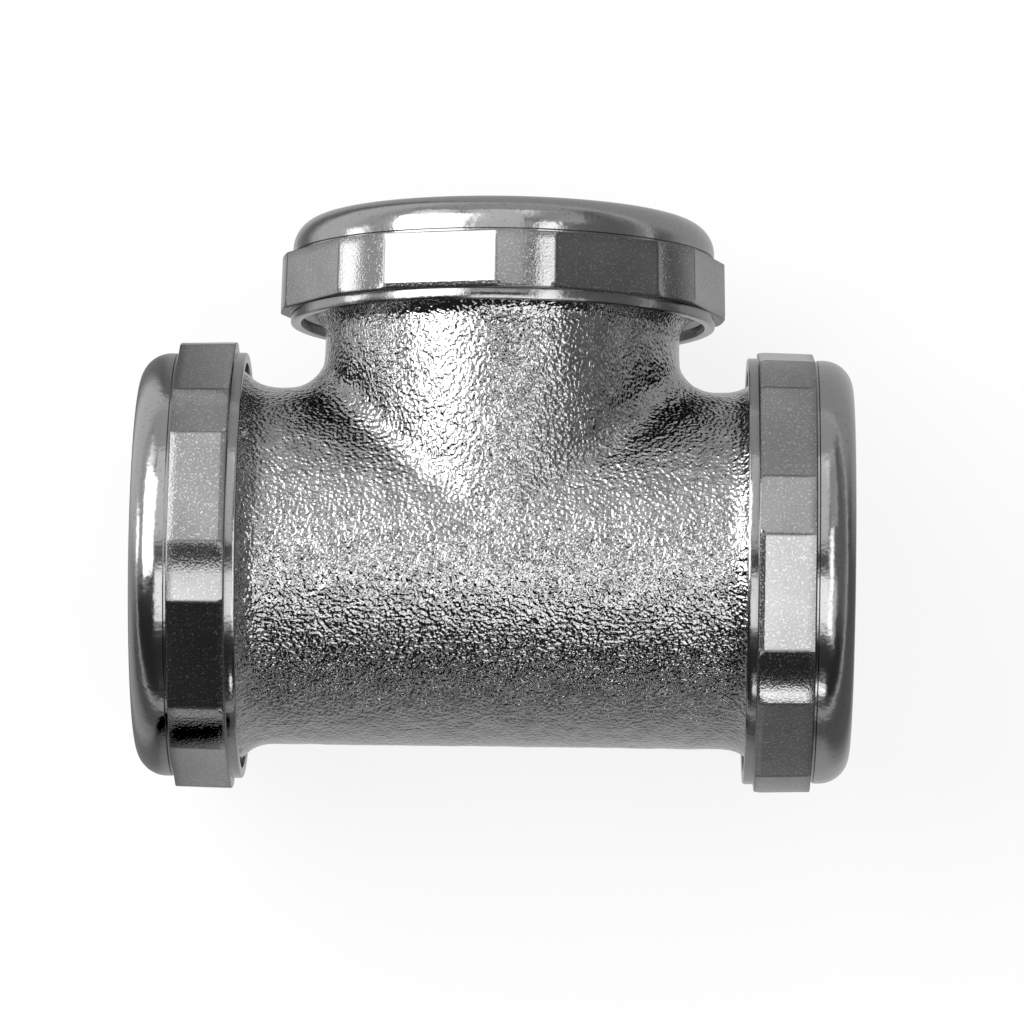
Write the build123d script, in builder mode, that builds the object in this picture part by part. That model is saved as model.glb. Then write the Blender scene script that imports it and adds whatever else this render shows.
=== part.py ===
from build123d import *

import os
from dataclasses import dataclass
from math import cos, radians, sqrt

# Compression tee that joins three plain-ended steel tubes of 60.3 mm diameter.
#
# A cast body carries an outside-threaded spigot at each of its three ports. The
# clamp nut on a spigot drives a split, toothed clamp ring inwards with its inner
# cone. The ring bites on the tube, and through a thrust ring it squeezes a rubber
# seal into a chamber in the spigot.
#
# Millimetres. The origin is where the centre lines of the run and the branch
# cross, X is along the run, +Y points out of the branch and +Z is up when the
# fitting lies on its nuts.

# --- driving dimensions ---------------------------------------------------------
TUBE_RADIUS = 60.3 / 2
THREAD_PITCH = 25.4 / 11
RUN_BARREL_RADIUS = 36.8
BRANCH_BARREL_RADIUS = 36.2
CROTCH_RADIUS = 8.0
SPIGOT_END = 60.9
THREAD_RADIUS = 40.75
NUT_CORNER_RADIUS = 46.0
NUT_HOME = 71.9  # from the origin to the outer face of a nut that is run down

# --- tee body, measured outwards from the origin --------------------------------
THREAD_START = 53.2
THREAD_CHAMFER = 1.2
FLARE_RADIUS = 7.5
CAVITY_RADIUS = TUBE_RADIUS + 1.65
CAVITY_END = 36.5
GUIDE_RADIUS = TUBE_RADIUS + 0.75
GUIDE_START = 38.0
CHAMBER_RADIUS = 35.9
CHAMBER_START = 50.1
CHAMBER_CONE = 2.5

# --- clamp nut, measured inwards from its outer face ----------------------------
FLATS = 8
FLAT_HALF_ANGLE = 14.83
FLAT_RADIUS = NUT_CORNER_RADIUS * cos(radians(FLAT_HALF_ANGLE))
DRAFT = 0.23  # taper of flats and corners towards the nose
NOSE_RADIUS = NUT_CORNER_RADIUS - 2.4
NOSE_ROUND = 6.2
NOSE_LENGTH = 8.1
RUNOUT_START = 18.3
RUNOUT_DROP = 0.28
COLLAR_START = 19.6
COLLAR_RADIUS = NUT_CORNER_RADIUS - 2.1
COLLAR_BORE_RADIUS = THREAD_RADIUS + 1.05
NUT_LENGTH = 21.8
MOUTH_RADIUS = TUBE_RADIUS + 1.15
MOUTH_CHAMFER = 0.8
LIP = 2.4
CONE_LENGTH = 6.0
CONE_SMALL_RADIUS = 33.4
CONE_LARGE_RADIUS = 36.9
CONE_SLOPE = (CONE_LARGE_RADIUS - CONE_SMALL_RADIUS) / CONE_LENGTH
THREAD_CLEARANCE = 0.1
THREAD_END = 18.5
EDGE_BREAK = 0.4
CORNER_BREAK = 0.2

# --- rings inside each port -----------------------------------------------------
SEAL_INNER_RADIUS = TUBE_RADIUS + 0.6
SEAL_SIDE_GAP = 0.05
SEAL_END = SPIGOT_END + 0.4
THRUST_INNER_RADIUS = TUBE_RADIUS + 0.85
THRUST_OUTER_RADIUS = 39.0
THRUST_THICKNESS = 2.2
CLAMP_INNER_RADIUS = TUBE_RADIUS + 0.6
CLAMP_LENGTH = 5.6
CLAMP_TEETH = 3
CLAMP_TOOTH_DEPTH = 0.6
CLAMP_TOOTH_LEAN = 0.7  # a tooth's tip leans outwards, so that a pull sets it
CLAMP_GAP = 0.1
CLAMP_SPLIT = 4.0


@dataclass
class Port:
    """One end of the tee, and how its clamp nut stands on the thread."""

    name: str
    outward: tuple
    barrel_radius: float
    turns_off: float  # turns that the nut is backed off from its home
    clocking: float  # degrees about the outward axis, from up to a flat's middle

    def __post_init__(self):
        self.axis = Axis((0, 0, 0), self.outward)
        self.frame = Plane(origin=(0, 0, 0), x_dir=(0, 0, 1), z_dir=self.outward)
        self.nut_face = NUT_HOME + self.turns_off * THREAD_PITCH

    def section(self, turned):
        """Plane through the port's axis, turned about it from up: X is the radius,
        Y points outwards."""
        radius = self.frame.x_dir.rotate(self.axis, turned)
        return Plane((0, 0, 0), x_dir=radius, z_dir=radius.cross(self.axis.direction))


PORTS = [
    Port("left", (-1, 0, 0), RUN_BARREL_RADIUS, turns_off=1.0, clocking=15.0),
    Port("right", (1, 0, 0), RUN_BARREL_RADIUS, turns_off=0.2, clocking=11.3),
    Port("branch", (0, 1, 0), BRANCH_BARREL_RADIUS, turns_off=0.0, clocking=29.1),
]


def make_tee_body():
    """Three barrels blended at the crotch, each flared to a threaded spigot."""
    with BuildPart() as body:
        for port in PORTS:
            rise = THREAD_RADIUS - port.barrel_radius
            flare_start = THREAD_START - sqrt(2 * FLARE_RADIUS * rise - rise**2)
            with BuildSketch(port.section(180)):
                with BuildLine():
                    Polyline(
                        (THREAD_RADIUS, THREAD_START),
                        (THREAD_RADIUS, SPIGOT_END - THREAD_CHAMFER),
                        (THREAD_RADIUS - THREAD_CHAMFER, SPIGOT_END),
                        (0, SPIGOT_END),
                        (0, 0),
                        (port.barrel_radius, 0),
                        (port.barrel_radius, flare_start),
                    )
                    RadiusArc(
                        (port.barrel_radius, flare_start),
                        (THREAD_RADIUS, THREAD_START),
                        FLARE_RADIUS,
                    )
                make_face()
            revolve(axis=port.axis)
        crotch = body.edges().filter_by(GeomType.BSPLINE)
        fillet(crotch, CROTCH_RADIUS)

        for port in PORTS:
            with BuildSketch(port.section(180)):
                with BuildLine():
                    Polyline(
                        (0, 0),
                        (CAVITY_RADIUS, 0),
                        (CAVITY_RADIUS, CAVITY_END),
                        (GUIDE_RADIUS, GUIDE_START),
                        (GUIDE_RADIUS, CHAMBER_START),
                        (CHAMBER_RADIUS, CHAMBER_START + CHAMBER_CONE),
                        (CHAMBER_RADIUS, SPIGOT_END),
                        (0, SPIGOT_END),
                        close=True,
                    )
                make_face()
            revolve(axis=port.axis, mode=Mode.SUBTRACT)

    body.part.label = "tee_body"
    export_step(body.part, "parts/tee_body.step")


def make_nut(port):
    """Clamp nut: rounded nose, eight flats that run out towards a plain collar, and a
    cone and a thread inside."""
    face = port.nut_face
    inner_end = face - NUT_LENGTH
    cone_start = face - LIP
    cone_end = cone_start - CONE_LENGTH
    thread_bore = THREAD_RADIUS + THREAD_CLEARANCE
    with BuildPart() as nut:
        with BuildSketch(port.section(port.clocking + 180 + 180 / FLATS)):
            with BuildLine():
                CenterArc(
                    (NOSE_RADIUS - NOSE_ROUND, face - NOSE_ROUND), NOSE_ROUND, 0, 90
                )
                Polyline(
                    (NOSE_RADIUS - NOSE_ROUND, face),
                    (MOUTH_RADIUS + MOUTH_CHAMFER, face),
                    (MOUTH_RADIUS, face - MOUTH_CHAMFER),
                    (MOUTH_RADIUS, cone_start),
                    (CONE_SMALL_RADIUS, cone_start),
                    (CONE_LARGE_RADIUS, cone_end),
                    (thread_bore, cone_end),
                    (thread_bore, face - THREAD_END),
                    (COLLAR_BORE_RADIUS, face - THREAD_END - 1),
                    (COLLAR_BORE_RADIUS, inner_end),
                    (COLLAR_RADIUS - EDGE_BREAK, inner_end),
                    (COLLAR_RADIUS, inner_end + EDGE_BREAK),
                    (COLLAR_RADIUS, face - COLLAR_START),
                    (NUT_CORNER_RADIUS - CORNER_BREAK, face - COLLAR_START),
                    (NUT_CORNER_RADIUS, face - COLLAR_START + CORNER_BREAK),
                    (NUT_CORNER_RADIUS - DRAFT, face - NOSE_LENGTH),
                    (NOSE_RADIUS, face - NOSE_LENGTH),
                    (NOSE_RADIUS, face - NOSE_ROUND),
                )
            make_face()
        revolve(axis=port.axis)

        for flat in range(FLATS):
            with BuildSketch(port.section(port.clocking + flat * 360 / FLATS)):
                with BuildLine():
                    Polyline(
                        (FLAT_RADIUS - DRAFT, face - NOSE_ROUND),
                        (FLAT_RADIUS, face - RUNOUT_START),
                        (FLAT_RADIUS - RUNOUT_DROP, face - COLLAR_START),
                        (FLAT_RADIUS - RUNOUT_DROP, inner_end),
                        (NUT_CORNER_RADIUS + 1, inner_end),
                        (NUT_CORNER_RADIUS + 1, face - NOSE_ROUND),
                        close=True,
                    )
                make_face()
            extrude(amount=NUT_CORNER_RADIUS / 2, both=True, mode=Mode.SUBTRACT)

    nut.part.label = f"{port.name}_nut"
    export_step(nut.part, f"parts/{nut.part.label}.step")


def make_clamp_ring(port):
    """Split gripping ring: a cone to match the nut's, and leaning teeth inside."""
    start = port.nut_face - LIP - CONE_LENGTH + CLAMP_GAP
    outer_start = CONE_LARGE_RADIUS - CLAMP_GAP * (sqrt(1 + CONE_SLOPE**2) + CONE_SLOPE)
    outer_end = outer_start - CONE_SLOPE * CLAMP_LENGTH
    root_radius = CLAMP_INNER_RADIUS + CLAMP_TOOTH_DEPTH
    tooth = CLAMP_LENGTH / CLAMP_TEETH
    teeth = [(root_radius, start)]
    for index in range(CLAMP_TEETH):
        teeth.append((CLAMP_INNER_RADIUS, start + (index + CLAMP_TOOTH_LEAN) * tooth))
        teeth.append((root_radius, start + (index + 1) * tooth))

    with BuildPart() as ring:
        with BuildSketch(port.section(180)):
            with BuildLine():
                Polyline(
                    *teeth,
                    (outer_end, start + CLAMP_LENGTH),
                    (outer_start, start),
                    close=True,
                )
            make_face()
        revolve(axis=port.axis)

        with BuildSketch(port.frame.offset(start)):
            with Locations((CONE_LARGE_RADIUS, 0)):
                Rectangle(CONE_LARGE_RADIUS, CLAMP_SPLIT)
        extrude(amount=CLAMP_LENGTH, mode=Mode.SUBTRACT)

    ring.part.label = f"{port.name}_clamp_ring"
    export_step(ring.part, f"parts/{ring.part.label}.step")


def make_thrust_ring(port):
    """Flat ring that spreads the push of the clamp ring over the seal."""
    with BuildPart() as ring:
        with BuildSketch(port.frame.offset(SEAL_END)):
            Circle(THRUST_OUTER_RADIUS)
            Circle(THRUST_INNER_RADIUS, mode=Mode.SUBTRACT)
        extrude(amount=THRUST_THICKNESS)
        chamfer(ring.edges(), EDGE_BREAK)

    ring.part.label = f"{port.name}_thrust_ring"
    export_step(ring.part, f"parts/{ring.part.label}.step")


def make_seal(port):
    """Rubber ring whose bevelled foot sits in the cone of the seal chamber."""
    with BuildPart() as seal:
        with BuildSketch(port.section(180)):
            with BuildLine():
                Polyline(
                    (SEAL_INNER_RADIUS, CHAMBER_START),
                    (CHAMBER_RADIUS - SEAL_SIDE_GAP, CHAMBER_START + CHAMBER_CONE),
                    (CHAMBER_RADIUS - SEAL_SIDE_GAP, SEAL_END),
                    (SEAL_INNER_RADIUS, SEAL_END),
                    close=True,
                )
            make_face()
        revolve(axis=port.axis)

    seal.part.label = f"{port.name}_seal"
    export_step(seal.part, f"parts/{seal.part.label}.step")


os.makedirs("parts", exist_ok=True)
make_tee_body()
for each_port in PORTS:
    make_nut(each_port)
    make_clamp_ring(each_port)
    make_thrust_ring(each_port)
    make_seal(each_port)
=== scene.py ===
# %% [markdown]
# # Compression tee for steel tube
#
# A cast tee body with three clamp nuts. Inside every port a toothed clamp ring, a
# thrust ring and a rubber seal grip and seal a plain tube. The engineering solids come
# from the frame; this script dresses them: it gives the casting its rough skin, the
# nuts their pressed flats, the spigots their threads, and every piece its finish.
#
# Everything is in metres in the frame's own place: X along the run, +Y out of the
# branch, +Z up while the fitting lies on its three nuts.

import math

import bmesh
import bpy
from mathutils import Matrix, Vector, noise


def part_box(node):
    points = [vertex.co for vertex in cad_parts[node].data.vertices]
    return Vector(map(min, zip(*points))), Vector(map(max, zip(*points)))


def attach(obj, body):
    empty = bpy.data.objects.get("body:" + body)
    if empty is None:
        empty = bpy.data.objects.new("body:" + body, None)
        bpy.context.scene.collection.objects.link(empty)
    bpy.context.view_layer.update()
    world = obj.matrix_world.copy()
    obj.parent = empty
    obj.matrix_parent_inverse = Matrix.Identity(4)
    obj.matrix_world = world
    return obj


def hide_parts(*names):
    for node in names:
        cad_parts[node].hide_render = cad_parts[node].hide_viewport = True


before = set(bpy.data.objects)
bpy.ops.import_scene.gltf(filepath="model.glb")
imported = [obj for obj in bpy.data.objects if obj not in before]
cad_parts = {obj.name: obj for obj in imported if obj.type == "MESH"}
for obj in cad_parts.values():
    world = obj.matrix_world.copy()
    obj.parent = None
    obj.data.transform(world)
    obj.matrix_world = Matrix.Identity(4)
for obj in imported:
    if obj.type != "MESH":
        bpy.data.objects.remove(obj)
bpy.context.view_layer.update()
MM = 0.001
print("frame", sorted(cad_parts))

# %% [markdown]
# ## The three ports
#
# The same set of pieces stands at each port, so every shape is modelled once along its
# own axis and then laid onto a port. A port knows which way it points, where the outer
# face of its nut stands and how the nut's flats are clocked. The nut's place is
# measured on the frame, so that it can't drift from the solid.

# %% Ports, measured on the frame
THREAD_PITCH = 25.4 / 11
NUT_HOME = 71.9
CLOCKING = {"left": 15.0, "right": 11.3, "branch": 29.1}
OUTWARD = {"left": (-1, 0, 0), "right": (1, 0, 0), "branch": (0, 1, 0)}


def reach(node, direction):
    """How far out a node reaches along a port's axis, in millimetres."""
    low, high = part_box(node)
    return max(low.dot(direction), high.dot(direction)) / MM


def port_matrix(outward):
    """Turns a piece modelled with Z outwards and X up onto a port, and scales it."""
    z = Vector(outward)
    x = Vector((0, 0, 1))
    y = z.cross(x)
    turn = Matrix((x, y, z)).transposed()
    return turn.to_4x4() @ Matrix.Scale(MM, 4)


PORTS = {}
for name, outward in OUTWARD.items():
    PORTS[name] = {
        "place": port_matrix(outward),
        "face": reach(f"{name}_nut", Vector(outward)),
        "clocking": CLOCKING[name],
    }
    print(name, "nut face stands", round(PORTS[name]["face"], 2), "mm out")

# %% [markdown]
# ## Shader maths as sentences
#
# A finish here is a small sum: grain plus waves, less where the metal is worn. Blender
# writes a sum as nodes wired by hand. This little class wraps a node's output, so that
# a sum can be written in Python and the nodes appear behind it.


# %% A socket that can be added, multiplied and compared
class Value:
    """A node's output. Sums of values, or of values and numbers, add Math nodes."""

    def __init__(self, finish, output):
        self.finish = finish
        self.output = output

    def sum(self, operation, *terms):
        inputs = dict(enumerate(terms))
        return self.finish.node("ShaderNodeMath", {"operation": operation}, inputs)

    def __add__(self, other):
        return self.sum("ADD", self, other)

    def __sub__(self, other):
        return self.sum("SUBTRACT", self, other)

    def __mul__(self, other):
        return self.sum("MULTIPLY", self, other)

    def __truediv__(self, other):
        return self.sum("DIVIDE", self, other)

    def __pow__(self, other):
        return self.sum("POWER", self, other)

    def __rsub__(self, other):
        return self.sum("SUBTRACT", other, self)

    __radd__ = __add__
    __rmul__ = __mul__

    def ramp(self, low, high):
        """0 below low, 1 above high and smooth between them."""
        settings = {"interpolation_type": "SMOOTHSTEP"}
        inputs = {"Value": self, "From Min": low, "From Max": high}
        return self.finish.node("ShaderNodeMapRange", settings, inputs)


# %% A finish: one material and the way to add nodes to it
class Nodes:
    """A node tree whose nodes are added one at a time by node()."""

    def __init__(self, tree):
        self.tree = tree

    def node(self, kind, settings=None, inputs=None, output=0):
        """Adds a node: its settings first, then its inputs' numbers or links."""
        made = self.tree.nodes.new(kind)
        for key, value in (settings or {}).items():
            setattr(made, key, value)
        for key, value in (inputs or {}).items():
            self.feed(made.inputs[key], value)
        return Value(self, made.outputs[output])

    def feed(self, socket, value):
        if isinstance(value, Value):
            self.tree.links.new(value.output, socket)
        else:
            socket.default_value = value

    def link(self, value, node, socket):
        self.tree.links.new(value.output, self.tree.nodes[node].inputs[socket])


class Finish(Nodes):
    """A material, its place on the object and its main shader."""

    def __init__(self, name):
        self.material = bpy.data.materials.new(name)
        self.material.use_nodes = True
        super().__init__(self.material.node_tree)
        self.shader = self.tree.nodes["Principled BSDF"]
        self.place = self.node("ShaderNodeTexCoord", output="Object")

    def set(self, **inputs):
        """Sets or links the shader's own sockets; Base_Color stands for Base Color."""
        for key, value in inputs.items():
            self.feed(self.shader.inputs[key.replace("_", " ")], value)

    def axes(self):
        """The place's three coordinates in metres, each as a value."""
        split = "ShaderNodeSeparateXYZ"
        return [self.node(split, {}, {0: self.place}, output=axis) for axis in "XYZ"]

    def noise(self, scale, detail=2.0, roughness=0.5, at=None):
        inputs = {
            "Vector": at or self.place,
            "Scale": scale,
            "Detail": detail,
            "Roughness": roughness,
        }
        return self.node("ShaderNodeTexNoise", {}, inputs)

    def cells(self, scale, smoothness=0.5, randomness=1.0, at=None):
        inputs = {
            "Vector": at or self.place,
            "Scale": scale,
            "Smoothness": smoothness,
            "Randomness": randomness,
        }
        return self.node("ShaderNodeTexVoronoi", {"feature": "SMOOTH_F1"}, inputs)

    def mix(self, factor, first, second):
        """One colour to another; a colour is three numbers or a value."""
        colours = [c if isinstance(c, Value) else (*c, 1) for c in (first, second)]
        inputs = {0: factor, 6: colours[0], 7: colours[1]}
        return self.node("ShaderNodeMix", {"data_type": "RGBA"}, inputs, 2)

    def bump(self, height, distance, strength=1.0, normal=None):
        inputs = {"Height": height, "Distance": distance, "Strength": strength}
        if normal:
            inputs["Normal"] = normal
        return self.node("ShaderNodeBump", {}, inputs)


def grey(level):
    return (level, level, level)


# %% [markdown]
# ## Finish of the casting
#
# The body is a sand casting dipped in zinc. Its skin is pebbled, with grains about a
# millimetre across, and each grain throws its own small highlight. Geometry that fine
# would need millions of faces, so the grain is a bump made of rounded cells and noise,
# on top of slow waves that the mesh does carry. The branch barrel came out of the mould
# a little smoother than the run, so the grain calms down towards it.


# %% Cast zinc skin
def make_cast_finish():
    skin = Finish("cast_zinc")
    cloud = skin.noise(260, 3)
    grains = skin.noise(1400, 0.6, 0.5)
    pits = 1 - skin.cells(900, 0.2)
    lumps = skin.noise(500, 1, 0.5)
    _, along, _ = skin.axes()
    calm = 1 - along.ramp(0.02, 0.045) * 0.35
    height = (grains + pits * 0.3 + lumps * 0.45) * calm
    skin.set(
        Base_Color=skin.mix(cloud.ramp(0.35, 0.65), grey(0.27), grey(0.34)),
        Metallic=1.0,
        Roughness=0.02 + cloud * 0.03,
        Normal=skin.bump(height, 0.00036, 1.0),
    )
    return skin.material


# %% [markdown]
# ## Finish of the nuts
#
# The flats are milled and then plated, so they are an even satin with fine bright
# specks, and grime stays along their edges. The specks are colour and a little
# roughness, because a bump that fine would only blur. Shade is painted into the corners
# at the steps and onto the collar, as darker colour mixed with the grime. How much grime
# and painted shade lies where comes from a value that each nut's mesh carries. The nose
# and the collar are turned, and the plating lies bright and a little uneven on them.


# %% Flats, nose and collar
def make_flat_finish():
    satin = Finish("satin_zinc")
    shade_and_grime = satin.node("ShaderNodeAttribute", {"attribute_name": "shade_and_grime"}, output="Fac")
    cloud = satin.noise(70, 3)
    salt = satin.noise(2400, 0.3, 0.5).ramp(0.54, 0.78)
    grain = satin.noise(2300, 0.3, 0.5)
    waves = satin.noise(160, 1, 0.5)
    shade = satin.mix(cloud.ramp(0.35, 0.7), grey(0.25), grey(0.3))
    specked = satin.mix(salt * 0.45, shade, grey(0.6))
    # Grime and painted shade from the nut's value turn the colour nearly black.
    satin.set(
        Base_Color=satin.mix(shade_and_grime * 0.8, specked, grey(0.06)),
        Metallic=1.0,
        Roughness=0.15 + salt * 0.08 + shade_and_grime * 0.2,
        Normal=satin.bump(grain * 0.5 + waves, 0.00004, 1.0),
    )
    return satin.material


def make_smooth_finish():
    bright = Finish("bright_zinc")
    shade_and_grime = bright.node("ShaderNodeAttribute", {"attribute_name": "shade_and_grime"}, output="Fac")
    cloud = bright.noise(120, 3)
    waves = bright.noise(260, 1, 0.5)
    ripple = bright.noise(1100, 1, 0.5)
    specks = bright.noise(1500, 0.5).ramp(0.6, 0.75)
    plated = bright.mix(specks * 0.4, grey(0.33), grey(0.2))
    # Grime and painted shade from the nut's value turn the colour nearly black.
    bright.set(
        Base_Color=bright.mix(shade_and_grime * 0.8, plated, grey(0.06)),
        Metallic=1.0,
        Roughness=0.12 + cloud * 0.1,
        Normal=bright.bump(waves + ripple * 0.35, 0.00007, 1.0),
    )
    return bright.material


# %% [markdown]
# ## Finish of turned steel and of rubber
#
# The rings inside are turned steel: brighter than the casting, with fine scratches. The
# seals are black rubber with a light bloom. Both are small and mostly out of sight.


# %% Steel and rubber
def make_turned_finish(name, level, roughness, grooves):
    turned = Finish(name)
    cloud = turned.noise(300, 3)
    scratches = turned.noise(grooves, 1, 0.4)
    turned.set(
        Base_Color=turned.mix(cloud, grey(level), grey(level * 1.25)),
        Metallic=1.0,
        Roughness=roughness + cloud * 0.1,
        Normal=turned.bump(scratches, 0.00004, 1.0),
    )
    return turned.material


def make_rubber_finish():
    rubber = Finish("seal_rubber")
    bloom = rubber.noise(350, 4)
    specks = rubber.noise(3000, 2)
    rubber.set(
        Base_Color=rubber.mix(bloom.ramp(0.4, 0.7), grey(0.012), grey(0.03)),
        Roughness=0.55 + bloom * 0.2,
        Normal=rubber.bump(specks, 0.00005, 1.0),
    )
    return rubber.material


CAST_ZINC = make_cast_finish()
NUT_SATIN = make_flat_finish()
NUT_BRIGHT = make_smooth_finish()
MACHINED = make_turned_finish("machined_zinc", 0.45, 0.25, 1800)
CLAMP_STEEL = make_turned_finish("clamp_steel", 0.5, 0.2, 1200)
THRUST_STEEL = make_turned_finish("thrust_steel", 0.4, 0.3, 1500)
RUBBER = make_rubber_finish()

# %% Rings that stay as the frame has them
for name in PORTS:
    for part, material in (
        ("clamp_ring", CLAMP_STEEL),
        ("thrust_ring", THRUST_STEEL),
        ("seal", RUBBER),
    ):
        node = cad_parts[f"{name}_{part}"]
        node.data.materials.clear()
        node.data.materials.append(material)


# %% Piece maker
def new_piece(name, bm, material, body, smooth_angle=35):
    """A finished bmesh becomes an object at the origin that rides on a body."""
    bmesh.ops.remove_doubles(bm, verts=bm.verts, dist=0.000002)
    bmesh.ops.recalc_face_normals(bm, faces=bm.faces)
    mesh = bpy.data.meshes.new(name)
    bm.to_mesh(mesh)
    bm.free()
    mesh.materials.append(material)
    mesh.shade_smooth()
    mesh.set_sharp_from_angle(angle=math.radians(smooth_angle))
    piece = bpy.data.objects.new(name, mesh)
    bpy.context.scene.collection.objects.link(piece)
    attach(piece, body)
    faces = sum(len(p.vertices) - 2 for p in mesh.polygons)
    print(name, "rides", body, "with", faces, "triangles")
    return piece


def ring_profile(bm, points):
    """Closed outline of (radius, outward) points in millimetres, ready to spin."""
    corners = [bm.verts.new((radius, 0, outward)) for radius, outward in points]
    edges = []
    for start, end in zip(corners, corners[1:] + corners[:1]):
        edges.append(bm.edges.new((start, end)))
    return corners + edges


def spin_ring(points, steps):
    bm = bmesh.new()
    bmesh.ops.spin(
        bm,
        geom=ring_profile(bm, points),
        cent=(0, 0, 0),
        axis=(0, 0, 1),
        angle=2 * math.pi,
        steps=steps,
        use_merge=True,
    )
    return bm


# %% [markdown]
# ## The cast body
#
# The solid has the true outline, but a casting has no dead-straight walls. A copy of
# it is trimmed where the machined spigots begin, remeshed into even small faces, and
# its skin is moved in and out by a tenth of a millimetre of slow noise.

# %% Cast body
CAST_END = 53.2
BORE_ROOM = 0.4
MACHINED_START = 36.8
CHAMBER_LIMIT = 36.4
VOXEL = 0.95
AXES = {name: Vector(outward) for name, outward in OUTWARD.items()}


def port_split(point):
    """Port that a point belongs to, its distance out and its radius, in mm."""
    best = max(AXES, key=lambda name: point.dot(AXES[name]))
    out = point.dot(AXES[best])
    across = point - AXES[best] * out
    return AXES[best], out / MM, across


def make_cast_body():
    bm = bmesh.new()
    bm.from_mesh(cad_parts["tee_body"].data)
    bmesh.ops.remove_doubles(bm, verts=bm.verts, dist=0.000002)
    for axis in AXES.values():
        cut = bmesh.ops.bisect_plane(
            bm,
            geom=bm.verts[:] + bm.edges[:] + bm.faces[:],
            dist=0.000001,
            plane_co=axis * CAST_END * MM,
            plane_no=axis,
            clear_outer=True,
        )
        rim = [e for e in cut["geom_cut"] if isinstance(e, bmesh.types.BMEdge)]
        bmesh.ops.triangle_fill(bm, use_beauty=True, edges=rim, normal=axis)
    for vert in bm.verts:
        axis, out, across = port_split(vert.co)
        if out > MACHINED_START and across.length < CHAMBER_LIMIT * MM:
            vert.co += across.normalized() * BORE_ROOM * MM
    bmesh.ops.recalc_face_normals(bm, faces=bm.faces)
    mesh = bpy.data.meshes.new("cast_blank")
    bm.to_mesh(mesh)
    bm.free()
    blank = bpy.data.objects.new("cast_blank", mesh)
    bpy.context.scene.collection.objects.link(blank)
    remesh = blank.modifiers.new("even_faces", "REMESH")
    remesh.mode = "VOXEL"
    remesh.voxel_size = VOXEL * MM
    graph = bpy.context.evaluated_depsgraph_get()
    bm = bmesh.new()
    bm.from_mesh(blank.evaluated_get(graph).to_mesh())
    bpy.data.objects.remove(blank)
    bmesh.ops.smooth_vert(bm, verts=bm.verts, factor=0.5, use_axis_x=True,
                          use_axis_y=True, use_axis_z=True)
    bm.normal_update()
    for vert in bm.verts:
        wave = noise.noise(vert.co * 180) * 0.10 + noise.noise(vert.co * 420) * 0.06
        vert.co += vert.normal * wave * MM
    return bm


cast_body = new_piece("cast_body", make_cast_body(), CAST_ZINC, "tee", 180)
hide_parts("tee_body")

# %% [markdown]
# ## Machined spigots
#
# Inside and outside the spigots are turned on a lathe: the guide land that the tube
# slides in, the cone and chamber that hold the seal, and the blank for the thread.
# They are crisp where the casting is soft, so they are a spun sleeve of their own.

# %% Spigot sleeves
THREAD_ROOT = 39.27
THREAD_CREST = 40.75
SPIGOT_END = 60.9
SLEEVE = [
    (32.3, 36.3),
    (31.5, 36.6),
    (30.9, 37.8),
    (30.9, 50.1),
    (35.9, 52.6),
    (35.9, 60.6),
    (36.2, 60.9),
    (THREAD_ROOT - 0.3, 60.9),
    (THREAD_ROOT, 60.6),
    (THREAD_ROOT, 53.0),
    (38.4, 52.2),
    (36.6, 50.2),
    (33.0, 48.6),
    (32.6, 38.0),
]
for name, port in PORTS.items():
    bm = spin_ring(SLEEVE, 128)
    bmesh.ops.transform(bm, matrix=port["place"], verts=bm.verts)
    sleeve = new_piece(f"{name}_spigot", bm, MACHINED, "tee")

# %% [markdown]
# ## Threads
#
# The thread is a right-hand one of eleven turns to the inch. A ridge is one tooth
# outline spun round the axis while it climbs by the pitch every turn. The nut carries
# the same ridge turned inside out and half a pitch away, so the two run past each
# other at every turn of the nut.


# %% Helical ridges
def spin_ridge(outline, start, turns, steps_a_turn=96):
    """A closed tooth outline climbs outwards from start as it turns right-handed."""
    bm = bmesh.new()
    tooth = ring_profile(bm, [(radius, start + out) for radius, out in outline])
    steps = round(turns * steps_a_turn)
    bmesh.ops.contextual_create(bm, geom=[g for g in tooth])
    bmesh.ops.spin(
        bm,
        geom=bm.verts[:] + bm.edges[:] + bm.faces[:],
        cent=(0, 0, 0),
        axis=(0, 0, 1),
        dvec=(0, 0, THREAD_PITCH / steps_a_turn),
        angle=2 * math.pi * turns,
        steps=steps,
    )
    return bm


SPIGOT_TOOTH = [
    (THREAD_ROOT - 0.1, -0.88),
    (THREAD_CREST, -0.18),
    (THREAD_CREST, 0.18),
    (THREAD_ROOT - 0.1, 0.88),
]
NUT_BORE = THREAD_CREST + 0.1
NUT_TOOTH = [
    (NUT_BORE + 0.1, -0.88),
    (THREAD_ROOT + 0.15, -0.18),
    (THREAD_ROOT + 0.15, 0.18),
    (NUT_BORE + 0.1, 0.88),
]
THREAD_START = 54.1
for name, port in PORTS.items():
    bm = spin_ridge(SPIGOT_TOOTH, THREAD_START, 2.5)
    bmesh.ops.transform(bm, matrix=port["place"], verts=bm.verts)
    ridge = new_piece(f"{name}_spigot_thread", bm, MACHINED, "tee")

# %% [markdown]
# ## Clamp nuts
#
# A nut is cast, turned, and has its eight flats milled a little shallower than a true
# octagon, so that arcs of the round remain between them. Near the tee the flats dip
# towards a plain collar, and a fine groove parts them from the nose. The outline is
# spun in steps that crowd together at the borders of the flats, and the ring is then
# pressed: wherever it stands proud of a flat, it is brought down onto it.

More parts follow.
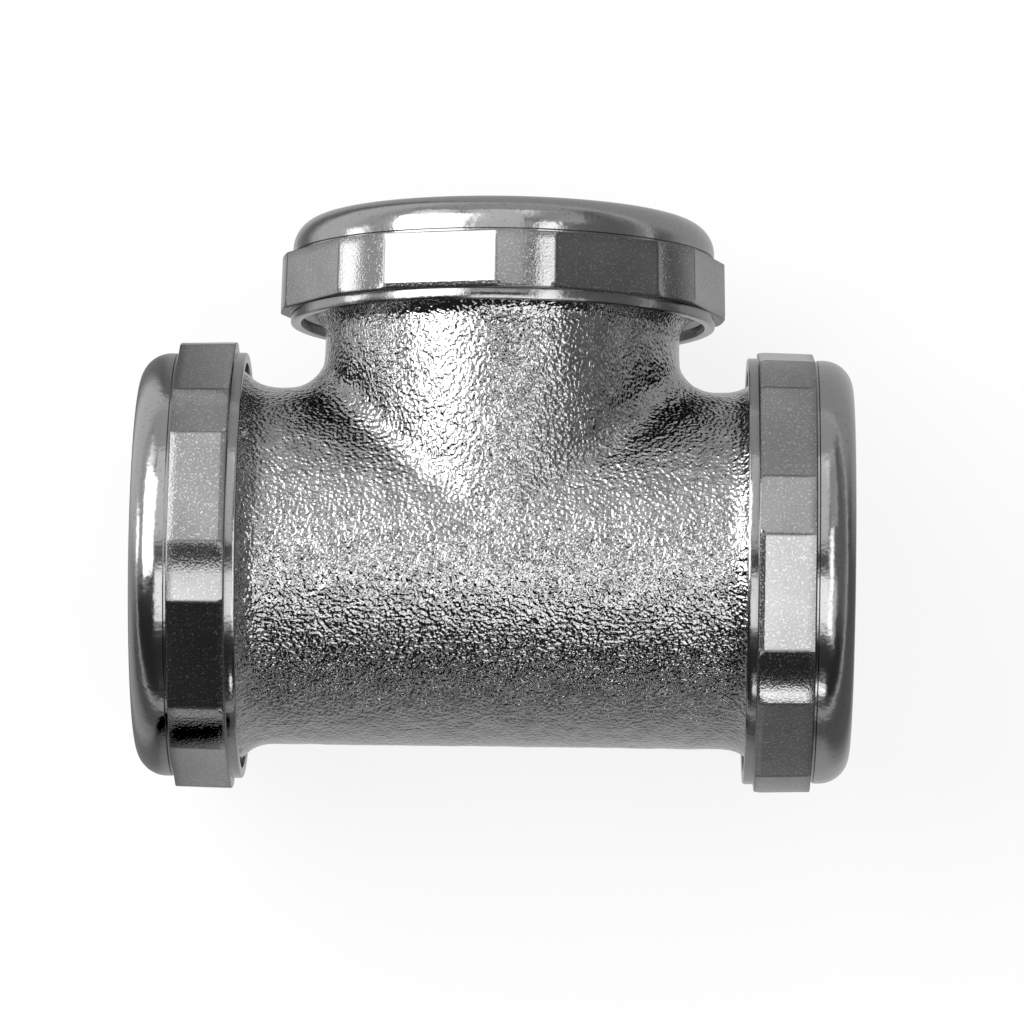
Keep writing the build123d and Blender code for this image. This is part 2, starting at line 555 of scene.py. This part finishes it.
# %% Nut outline
NUT_CORNER = 46.0
FLAT_BORDER = 14.83
FLAT_RADIUS = NUT_CORNER * math.cos(math.radians(FLAT_BORDER))
DRAFT = 0.23
SHOULDER = 8.1
EDGE = 0.2
BORDER_ROUND = 0.05
COLLAR = 43.9
RUNOUT_START = 18.3
RUNOUT_DROP = 0.28
COLLAR_START = 19.6
CORNER_BREAK = 0.2
NUT_INSIDE = [
    (42.1, 21.8),
    (41.8, 21.6),
    (41.8, 19.5),
    (NUT_BORE, 18.5),
    (NUT_BORE, 8.38),
    (36.9, 8.38),
    (33.4, 2.4),
    (31.3, 2.4),
    (31.3, 0.8),
    (32.1, 0.0),
    (34.8, 0.0),
]


def arc(centre, radius, start, end, steps):
    """Points on an arc, each as (radius, depth)."""
    points = []
    for step in range(steps + 1):
        angle = math.radians(start + (end - start) * step / steps)
        across, down = radius * math.cos(angle), radius * math.sin(angle)
        points.append((centre[0] + across, centre[1] - down))
    return points


def nut_outline():
    """Closed outline as (radius, depth from the outer face)."""
    nose = arc((37.4, 6.2), 6.2, 90, 0, 14)
    groove = [(43.6, 7.3), (43.35, 7.55), (43.35, 7.9), (43.7, SHOULDER)]
    rim = arc((NUT_CORNER - DRAFT - EDGE, SHOULDER + EDGE), EDGE, 90, 0, 5)
    wall = [(NUT_CORNER - DRAFT + DRAFT * k / 6, SHOULDER + EDGE + k * 1.6) for k in range(1, 6)]
    runout = [(NUT_CORNER, RUNOUT_START - 0.15), (NUT_CORNER, RUNOUT_START)]
    runout += [(NUT_CORNER, RUNOUT_START + 0.15), (NUT_CORNER, 19.0)]
    step = arc((NUT_CORNER - CORNER_BREAK, COLLAR_START - CORNER_BREAK), CORNER_BREAK, 0, -90, 4)
    step += [(45.2, COLLAR_START), (COLLAR + 0.15, COLLAR_START), (COLLAR, COLLAR_START + 0.15)]
    collar = [(COLLAR, 20.4), (COLLAR, 21.4), (COLLAR - 0.12, 21.68), (COLLAR - 0.4, 21.8)]
    return nose + groove + rim + wall + runout + step + collar + NUT_INSIDE


# %% [markdown]
# ## Pressing the flats
#
# A flat's distance from the axis is one sum along the nut: draft towards the nose, the
# rounded shoulder, and the dip that runs out at the collar. The border between a flat
# and its neighbour arc is barely rounded, as a cutter leaves it.

# %% Flats
HALF_PERIOD = [0, 2.5, 5, 7.5, 10, 12, 13.4, 14.2, 14.6, 14.83, 15.06, 15.46, 16.3, 17.9, 20, 22.5]
NUT_STEPS = 240
PERIOD = 45


def soft_min(first, second, blend):
    """The smaller of two, rounded where they cross."""
    near = max(blend - abs(first - second), 0) / blend
    return min(first, second) - near * near * blend / 4


def crowd(angle):
    """Moves an evenly spaced angle so that steps crowd at a flat's borders."""
    whole = math.floor(angle / PERIOD + 0.5)
    off = angle - whole * PERIOD
    steps = len(HALF_PERIOD) - 1
    place = abs(off) / (PERIOD / 2) * steps
    low = min(int(place), steps - 1)
    part = place - low
    moved = HALF_PERIOD[low] * (1 - part) + HALF_PERIOD[low + 1] * part
    return whole * PERIOD + math.copysign(moved, off)


def flat_distance(depth):
    """A flat's distance from the nut's axis at a depth from the outer face."""
    draft = DRAFT * (1 - min((depth - SHOULDER) / (RUNOUT_START - SHOULDER), 1))
    lift = max(SHOULDER + EDGE - depth, 0)
    rounding = EDGE - math.sqrt(max(EDGE**2 - lift**2, 0))
    dip = max(depth - RUNOUT_START, 0) / (COLLAR_START - RUNOUT_START) * RUNOUT_DROP
    corner = max(depth - COLLAR_START + CORNER_BREAK, 0)
    return FLAT_RADIUS - draft - rounding - dip - corner * corner / CORNER_BREAK


def press_flats(bm, face, clocking):
    for vert in bm.verts:
        radius = math.hypot(vert.co.x, vert.co.y)
        angle = crowd(math.degrees(math.atan2(vert.co.y, vert.co.x)))
        depth = face - vert.co.z
        if radius > 44.2 and SHOULDER - 0.05 < depth < COLLAR_START + 0.05:
            off = math.radians((angle + PERIOD / 2) % PERIOD - PERIOD / 2)
            flat = flat_distance(depth) / math.cos(off)
            radius = soft_min(radius, flat, BORDER_ROUND)
        turned = math.radians(angle + clocking)
        vert.co.x = radius * math.cos(turned)
        vert.co.y = radius * math.sin(turned)


# %% [markdown]
# ## Three nuts and their threads
#
# Each nut is the same ring, clocked as it was tightened. Its thread is a ridge like the
# spigot's, pointing inwards and standing half a pitch away.

# %% Where grime and painted shade lie
BORDER_WIDTH = 0.5
CORNER_WIDTH = 0.35
# Painted shade on the collar, under the step.
COLLAR_SHADE = 0.25


def shade_and_grime_at(spot, depth, clocking):
    """Grime at 1 along a flat's borders, painted shade and grime, less, in the corners
    beside the flats, painted shade on the collar, and 0 elsewhere.
    """
    if math.hypot(spot.x, spot.y) < COLLAR - 0.6:
        return 0
    if depth > COLLAR_START + CORNER_WIDTH:
        return COLLAR_SHADE
    for corner in (SHOULDER, COLLAR_START):
        if abs(depth - corner) < CORNER_WIDTH:
            return 0.8 * (1 - abs(depth - corner) / CORNER_WIDTH)
    if not SHOULDER < depth < COLLAR_START:
        return 0
    angle = math.degrees(math.atan2(spot.y, spot.x)) - clocking
    off = abs((angle + PERIOD / 2) % PERIOD - PERIOD / 2)
    return max(1 - abs(off - FLAT_BORDER) / BORDER_WIDTH, 0)


# %% Nuts
for name, port in PORTS.items():
    face = port["face"]
    bm = spin_ring([(radius, face - depth) for radius, depth in nut_outline()], NUT_STEPS)
    press_flats(bm, face, port["clocking"])
    bmesh.ops.transform(bm, matrix=port["place"], verts=bm.verts)
    nut = new_piece(f"{name}_clamp_nut", bm, NUT_BRIGHT, f"{name}_nut", 40)
    nut.data.materials.append(NUT_SATIN)
    for polygon in nut.data.polygons:
        depth = face - polygon.center.dot(AXES[name]) / MM
        if SHOULDER < depth < COLLAR_START:
            polygon.material_index = 1
    # Each vertex carries its share of grime and painted shade, which darkens its colour.
    shade_and_grime = nut.data.attributes.new("shade_and_grime", "FLOAT", "POINT")
    to_port = port["place"].inverted()
    for vert, value in zip(nut.data.vertices, shade_and_grime.data):
        spot = to_port @ vert.co
        value.value = shade_and_grime_at(spot, face - spot.z, port["clocking"])
    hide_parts(f"{name}_nut")

# %% Nut threads
NUT_THREAD_END = 18.5
TOOTH_ROOM = 0.9
for name, port in PORTS.items():
    start = THREAD_START + THREAD_PITCH * 0.5
    inner_end = port["face"] - NUT_THREAD_END + TOOTH_ROOM
    start += math.ceil((inner_end - start) / THREAD_PITCH) * THREAD_PITCH
    bm = spin_ridge(NUT_TOOTH, start, 3)
    bmesh.ops.transform(bm, matrix=port["place"], verts=bm.verts)
    ridge = new_piece(f"{name}_nut_thread", bm, MACHINED, f"{name}_nut")

# %% [markdown]
# ## Camera
#
# A long lens looks nearly straight down on the fitting, from a metre and a half, a few
# degrees off square towards the tee's closed side.

# %% Camera
camera = bpy.data.objects.new("camera", bpy.data.cameras.new("camera"))
bpy.context.scene.collection.objects.link(camera)
right = Vector((0.999821, 0.013414, -0.013309))
up = Vector((-0.011860, 0.993784, 0.110693))
back = Vector((0.014711, -0.110515, 0.993766))
camera.matrix_world = Matrix.Translation((0.02442, -0.15346, 1.48541)) @ Matrix(
    (right, up, back)
).transposed().to_4x4()
camera.data.lens = 254.4
camera.data.sensor_width = 36
camera.data.clip_start = 0.05
bpy.context.scene.camera = camera

# %% [markdown]
# ## Studio sweep
#
# The fitting lies on a pale paper sweep that turns up into a low wall all round, so
# that it ends in white from every side. Seen directly, in metal or through glass, the
# paper glows at a strength of one, which is white. A part of it stays plain matt
# paper that only the lamps light, and that part carries the shadow.

# %% Paper sweep
REST_LEVEL = -46 * MM
SWEEP = [(0, 0), (2.6, 0), (2.85, 0.04), (3.0, 0.15), (3.05, 0.3)]
bm = bmesh.new()
rise = [bm.verts.new((radius, 0, REST_LEVEL + height)) for radius, height in SWEEP]
rise_edges = [bm.edges.new(pair) for pair in zip(rise, rise[1:])]
bmesh.ops.spin(
    bm,
    geom=rise + rise_edges,
    cent=(0, 0, 0),
    axis=(0, 0, 1),
    angle=2 * math.pi,
    steps=64,
    use_merge=True,
)
bmesh.ops.remove_doubles(bm, verts=bm.verts, dist=0.0001)
sweep_mesh = bpy.data.meshes.new("paper_sweep")
bm.to_mesh(sweep_mesh)
bm.free()
sweep_mesh.shade_smooth()
sweep = bpy.data.objects.new("paper_sweep", sweep_mesh)
bpy.context.scene.collection.objects.link(sweep)

# %% Paper that is white where it is seen
MATT_SHARE = 0.15
paper = Finish("sweep_paper")
rays = [
    paper.node("ShaderNodeLightPath", output=f"Is {kind} Ray")
    for kind in ("Camera", "Glossy", "Transmission")
]
seen = rays[0].sum("MAXIMUM", rays[0].sum("MAXIMUM", rays[0], rays[1]), rays[2])
glow = paper.node("ShaderNodeEmission", {}, {"Color": (1, 1, 1, 1), "Strength": 1.0})
matt = paper.node("ShaderNodeBsdfDiffuse", {}, {"Color": (0.8, 0.8, 0.8, 1)})
sheet = paper.node("ShaderNodeMixShader", {}, {0: seen * (1 - MATT_SHARE), 1: matt, 2: glow})
paper.link(sheet, "Material Output", "Surface")
sweep_mesh.materials.append(paper.material)

# %% [markdown]
# ## Soft studio light
#
# Polished and plated metal shows what stands round it, so the lamps are shapes first:
# soft boxes round the lens, a broad one on the left, and low strips near the paper.
# The gaps between them are what gives the metal its dark bands.


# %% Soft boxes
LAMP_DISTANCE = 1.55


def softbox(name, across, along, radiance):
    """A lamp facing the fitting, between two angles across and two angles along.

    Both are in degrees from straight up: across turns towards +X and along towards
    +Y. The radiance is what a mirror would show of the lamp.
    """
    turn_across, turn_along = (math.radians(sum(pair) / 2) for pair in (across, along))
    x_axis = Vector((math.cos(turn_across), 0, -math.sin(turn_across)))
    aim = Vector(
        (
            math.sin(turn_across) * math.cos(turn_along),
            math.sin(turn_along),
            math.cos(turn_across) * math.cos(turn_along),
        )
    )
    wide, high = (
        2 * LAMP_DISTANCE * math.tan(math.radians(pair[1] - pair[0]) / 2)
        for pair in (across, along)
    )
    wide *= math.cos(turn_along)
    data = bpy.data.lights.new(name, "AREA")
    data.shape = "RECTANGLE"
    data.size, data.size_y = wide, high
    data.energy = math.pi * wide * high * radiance
    lamp = bpy.data.objects.new(name, data)
    turn = Matrix((x_axis, aim.cross(x_axis), aim)).transposed().to_4x4()
    lamp.matrix_world = Matrix.Translation(aim * LAMP_DISTANCE) @ turn
    lamp.visible_camera = False
    bpy.context.scene.collection.objects.link(lamp)
    return lamp


softbox("key_left", (-61, -19), (-9, 42), 4.7)
softbox("key_spill", (-60, -30), (42, 56), 1.4)
softbox("box_centre", (-19, 16), (6, 58), 1.2)
softbox("key_right", (17, 32), (-38, 16), 3.3)
softbox("spill_right", (33, 46), (-40, -8), 1.0)
softbox("box_front", (-17, 16), (-37, -7), 2.4)
softbox("fill_right", (16, 50), (17, 58), 0.6)
softbox("strip_front", (1.5, 30), (-74, -67), 4.2)
softbox("strip_left", (-93, -79), (0, 15), 3.0)

# %% [markdown]
# ## Room round the lamps
#
# Between the soft boxes the metal shows the room. Its walls are dim: a grey one behind
# and on the left, a darker one on the right that is brightest at its foot, and next to
# nothing in front, where the dark bands of the run come from.

# %% Room
world = bpy.data.worlds.new("studio")
bpy.context.scene.world = world
world.use_nodes = True
world.node_tree.nodes["Background"].inputs["Color"].default_value = (1, 1, 1, 1)
room = Nodes(world.node_tree)
towards = room.node("ShaderNodeTexCoord", output="Generated")
x, y, z = (
    room.node("ShaderNodeSeparateXYZ", {}, {0: towards}, output=axis) for axis in "XYZ"
)
back_wall = y.ramp(0.75, 0.92) * 0.68
left_wall = (0 - x).ramp(0.3, 0.6) * y.ramp(-0.25, 0.05) * 0.7
right_wall = x.ramp(0.35, 0.7) * y.ramp(-0.6, -0.2) * (0.55 - z.ramp(0.0, 0.35) * 0.33)
walls = back_wall.sum("MAXIMUM", back_wall.sum("MAXIMUM", back_wall, left_wall), right_wall)
room.link(walls + 0.04, "Background", "Strength")

# %% [markdown]
# ## Painted shade in the metal's reflections
#
# White paper right under bright metal washes out its lower half, for the glowing paper
# shows no shade. Product stages lay grey and black cards round such a piece, just out
# of the frame. Here one glowing disc over the paper, that only metal sees, paints the
# shade in: mid grey near the fitting and on the left, as painted shade, with painted
# shadow beside the left nut and close by on the right, and nearly black further out in
# front and on the right.

# %% Painted shade that only metal sees
CARD_RADIUS = 2.9
DARK_SIDE = (0.26, -0.97)
floor_shade_finish = Finish("painted_floor_shade")
card_x, card_y, _ = floor_shade_finish.axes()
distance = (card_x * card_x + card_y * card_y) ** 0.5
towards_dark = (card_x * DARK_SIDE[0] + card_y * DARK_SIDE[1]) / (distance + 0.001)
black_share = distance.ramp(0.13, 0.34) * towards_dark.ramp(-0.35, 0.1)
leftwards = 0 - card_x
shadow_share = leftwards.ramp(0.06, 0.085) * (1 - leftwards.ramp(0.1, 0.13))
pale_share = leftwards.ramp(0.1, 0.15) * card_y.ramp(0.0, 0.05)
right_shadow_share = card_x.ramp(0.08, 0.13) * (1 - card_y.ramp(0.0, 0.05))
# Painted shade and shadow: mid grey glow near the fitting, darker beside the left nut and close by
# on the right, paler further back on the left, nearly black far out in front and on the right.
level = 0.6 - black_share * 0.42 - shadow_share * 0.35 + pale_share * 0.45
level = level - right_shadow_share * (1 - black_share) * 0.4
shade = floor_shade_finish.node("ShaderNodeEmission", {}, {"Color": (1, 1, 1, 1), "Strength": level})
floor_shade_finish.link(shade, "Material Output", "Surface")
bm = bmesh.new()
bmesh.ops.create_circle(bm, cap_ends=True, radius=CARD_RADIUS, segments=64)
bmesh.ops.translate(bm, verts=bm.verts, vec=(0, 0, REST_LEVEL + 0.0005))
floor_shade_mesh = bpy.data.meshes.new("painted_floor_shade")
bm.to_mesh(floor_shade_mesh)
bm.free()
floor_shade_mesh.materials.append(floor_shade_finish.material)
floor_shade_disc = bpy.data.objects.new("painted_floor_shade", floor_shade_mesh)
bpy.context.scene.collection.objects.link(floor_shade_disc)
floor_shade_disc.visible_camera = floor_shade_disc.visible_diffuse = floor_shade_disc.visible_shadow = False

# %% [markdown]
# ## The end
#
# The view transform is Standard, so the colours show as they render.

# %% View transform
bpy.context.scene.view_settings.view_transform = "Standard"
